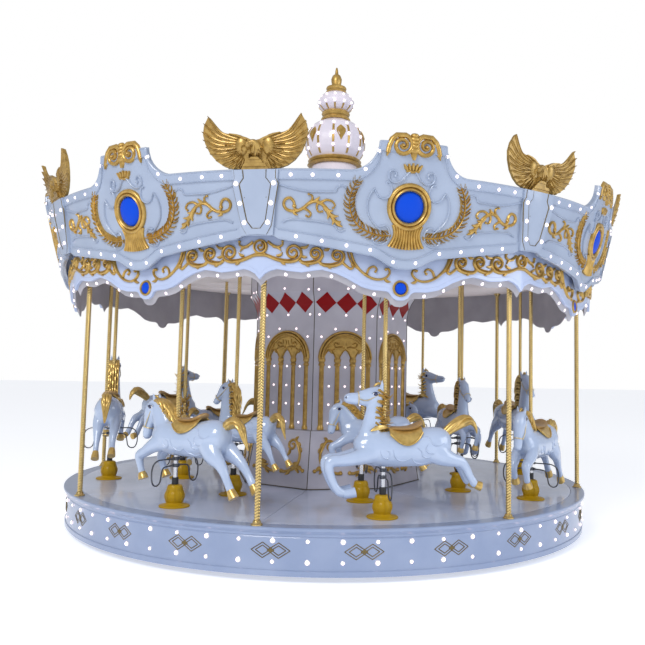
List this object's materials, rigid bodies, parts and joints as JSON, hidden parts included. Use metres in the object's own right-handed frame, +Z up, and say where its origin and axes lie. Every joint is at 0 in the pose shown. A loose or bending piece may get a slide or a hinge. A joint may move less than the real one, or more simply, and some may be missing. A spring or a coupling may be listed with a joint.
{
  "type": "fairground carousel",
  "caption": "Round fairground ride: a turning deck and canopy with ornate cornice boards, a centre column, brass poles and horses that rise and fall on lift rods.",
  "frame": {"origin": "on the ground at the centre of the ride, under the spindle", "axes": "+Z up along the spindle; -Y is the middle of face 0 of the octagon; +X is to the right of a viewer who looks along +Y"},
  "size_m": [5.9832, 5.9832, 4.94],
  "materials": {
    "white_gloss": "glossy moulded glass-fibre, cool white",
    "horse_white": "high-gloss painted glass-fibre",
    "canopy_white": "satin painted sheet",
    "antique_gold": "antique gold paint",
    "brass": "polished twisted brass tube",
    "chrome": "polished",
    "dark_steel": "dark painted steel"
  },
  "bodies": {
    "ground_frame": {"base_frame": "dark_steel"},
    "turntable": {"skirt": "white_gloss", "column_plinth": "white_gloss", "column_drum": "white_gloss", "canopy_frame": "brass", "roof": "canopy_white", "valance": "white_gloss", "crown_pedestal": "antique_gold", "crown_urn": "white_gloss", "crown_finial": "antique_gold", "floor_panel_1": "white_gloss", "floor_panel_2": "white_gloss", "floor_panel_3": "white_gloss", "floor_panel_4": "white_gloss", "floor_panel_5": "white_gloss", "floor_panel_6": "white_gloss", "floor_panel_7": "white_gloss", "floor_panel_8": "white_gloss", "rounding_board_1": "white_gloss", "rounding_board_2": "white_gloss", "rounding_board_3": "white_gloss", "rounding_board_4": "white_gloss", "rounding_board_5": "white_gloss", "rounding_board_6": "white_gloss", "rounding_board_7": "white_gloss", "rounding_board_8": "white_gloss"},
    "outer_horse_1": {"horse_outer_1": "horse_white", "lift_rod_outer_1": "chrome"},
    "inner_horse_1": {"horse_inner_1": "horse_white", "lift_rod_inner_1": "chrome"},
    "outer_horse_2": {"horse_outer_2": "horse_white", "lift_rod_outer_2": "chrome"},
    "inner_horse_2": {"horse_inner_2": "horse_white", "lift_rod_inner_2": "chrome"},
    "outer_horse_3": {"horse_outer_3": "horse_white", "lift_rod_outer_3": "chrome"},
    "inner_horse_3": {"horse_inner_3": "horse_white", "lift_rod_inner_3": "chrome"},
    "outer_horse_4": {"horse_outer_4": "horse_white", "lift_rod_outer_4": "chrome"},
    "inner_horse_4": {"horse_inner_4": "horse_white", "lift_rod_inner_4": "chrome"},
    "outer_horse_5": {"horse_outer_5": "horse_white", "lift_rod_outer_5": "chrome"},
    "inner_horse_5": {"horse_inner_5": "horse_white", "lift_rod_inner_5": "chrome"},
    "outer_horse_6": {"horse_outer_6": "horse_white", "lift_rod_outer_6": "chrome"},
    "inner_horse_6": {"horse_inner_6": "horse_white", "lift_rod_inner_6": "chrome"},
    "outer_horse_7": {"horse_outer_7": "horse_white", "lift_rod_outer_7": "chrome"},
    "inner_horse_7": {"horse_inner_7": "horse_white", "lift_rod_inner_7": "chrome"},
    "outer_horse_8": {"horse_outer_8": "horse_white", "lift_rod_outer_8": "chrome"},
    "inner_horse_8": {"horse_inner_8": "horse_white", "lift_rod_inner_8": "chrome"}
  },
  "joints": [
    {"name": "carousel_spin", "type": "hinge", "parent": "ground_frame", "child": "turntable", "pos_m": [0, 0, 0], "axis": [0, 0, 1], "continuous": true},
    {"name": "outer_lift_1", "type": "slide", "parent": "turntable", "child": "outer_horse_1", "axis": [0, 0, 1], "range_m": [-0.05, 0.15]},
    {"name": "inner_lift_1", "type": "slide", "parent": "turntable", "child": "inner_horse_1", "axis": [0, 0, 1], "range_m": [-0.15, 0.05]},
    {"name": "outer_lift_2", "type": "slide", "parent": "turntable", "child": "outer_horse_2", "axis": [0, 0, 1], "range_m": [-0.01, 0.19]},
    {"name": "inner_lift_2", "type": "slide", "parent": "turntable", "child": "inner_horse_2", "axis": [0, 0, 1], "range_m": [-0.19, 0.01]},
    {"name": "outer_lift_3", "type": "slide", "parent": "turntable", "child": "outer_horse_3", "axis": [0, 0, 1], "range_m": [-0.12, 0.08]},
    {"name": "inner_lift_3", "type": "slide", "parent": "turntable", "child": "inner_horse_3", "axis": [0, 0, 1], "range_m": [-0.08, 0.12]},
    {"name": "outer_lift_4", "type": "slide", "parent": "turntable", "child": "outer_horse_4", "axis": [0, 0, 1], "range_m": [-0.17, 0.03]},
    {"name": "inner_lift_4", "type": "slide", "parent": "turntable", "child": "inner_horse_4", "axis": [0, 0, 1], "range_m": [-0.03, 0.17]},
    {"name": "outer_lift_5", "type": "slide", "parent": "turntable", "child": "outer_horse_5", "axis": [0, 0, 1], "range_m": [-0.04, 0.16]},
    {"name": "inner_lift_5", "type": "slide", "parent": "turntable", "child": "inner_horse_5", "axis": [0, 0, 1], "range_m": [-0.16, 0.04]},
    {"name": "outer_lift_6", "type": "slide", "parent": "turntable", "child": "outer_horse_6", "axis": [0, 0, 1], "range_m": [-0.14, 0.06]},
    {"name": "inner_lift_6", "type": "slide", "parent": "turntable", "child": "inner_horse_6", "axis": [0, 0, 1], "range_m": [-0.06, 0.14]},
    {"name": "outer_lift_7", "type": "slide", "parent": "turntable", "child": "outer_horse_7", "axis": [0, 0, 1], "range_m": [-0.19, 0.01]},
    {"name": "inner_lift_7", "type": "slide", "parent": "turntable", "child": "inner_horse_7", "axis": [0, 0, 1], "range_m": [-0.01, 0.19]},
    {"name": "outer_lift_8", "type": "slide", "parent": "turntable", "child": "outer_horse_8", "axis": [0, 0, 1], "range_m": [-0.07, 0.13]},
    {"name": "inner_lift_8", "type": "slide", "parent": "turntable", "child": "inner_horse_8", "axis": [0, 0, 1], "range_m": [-0.13, 0.07]}
  ],
  "couplings": [
    {"joint": "inner_lift_1", "follows": "outer_lift_1", "ratio": -1},
    {"joint": "inner_lift_2", "follows": "outer_lift_2", "ratio": -1},
    {"joint": "inner_lift_3", "follows": "outer_lift_3", "ratio": -1},
    {"joint": "inner_lift_4", "follows": "outer_lift_4", "ratio": -1},
    {"joint": "inner_lift_5", "follows": "outer_lift_5", "ratio": -1},
    {"joint": "inner_lift_6", "follows": "outer_lift_6", "ratio": -1},
    {"joint": "inner_lift_7", "follows": "outer_lift_7", "ratio": -1},
    {"joint": "inner_lift_8", "follows": "outer_lift_8", "ratio": -1}
  ]
}
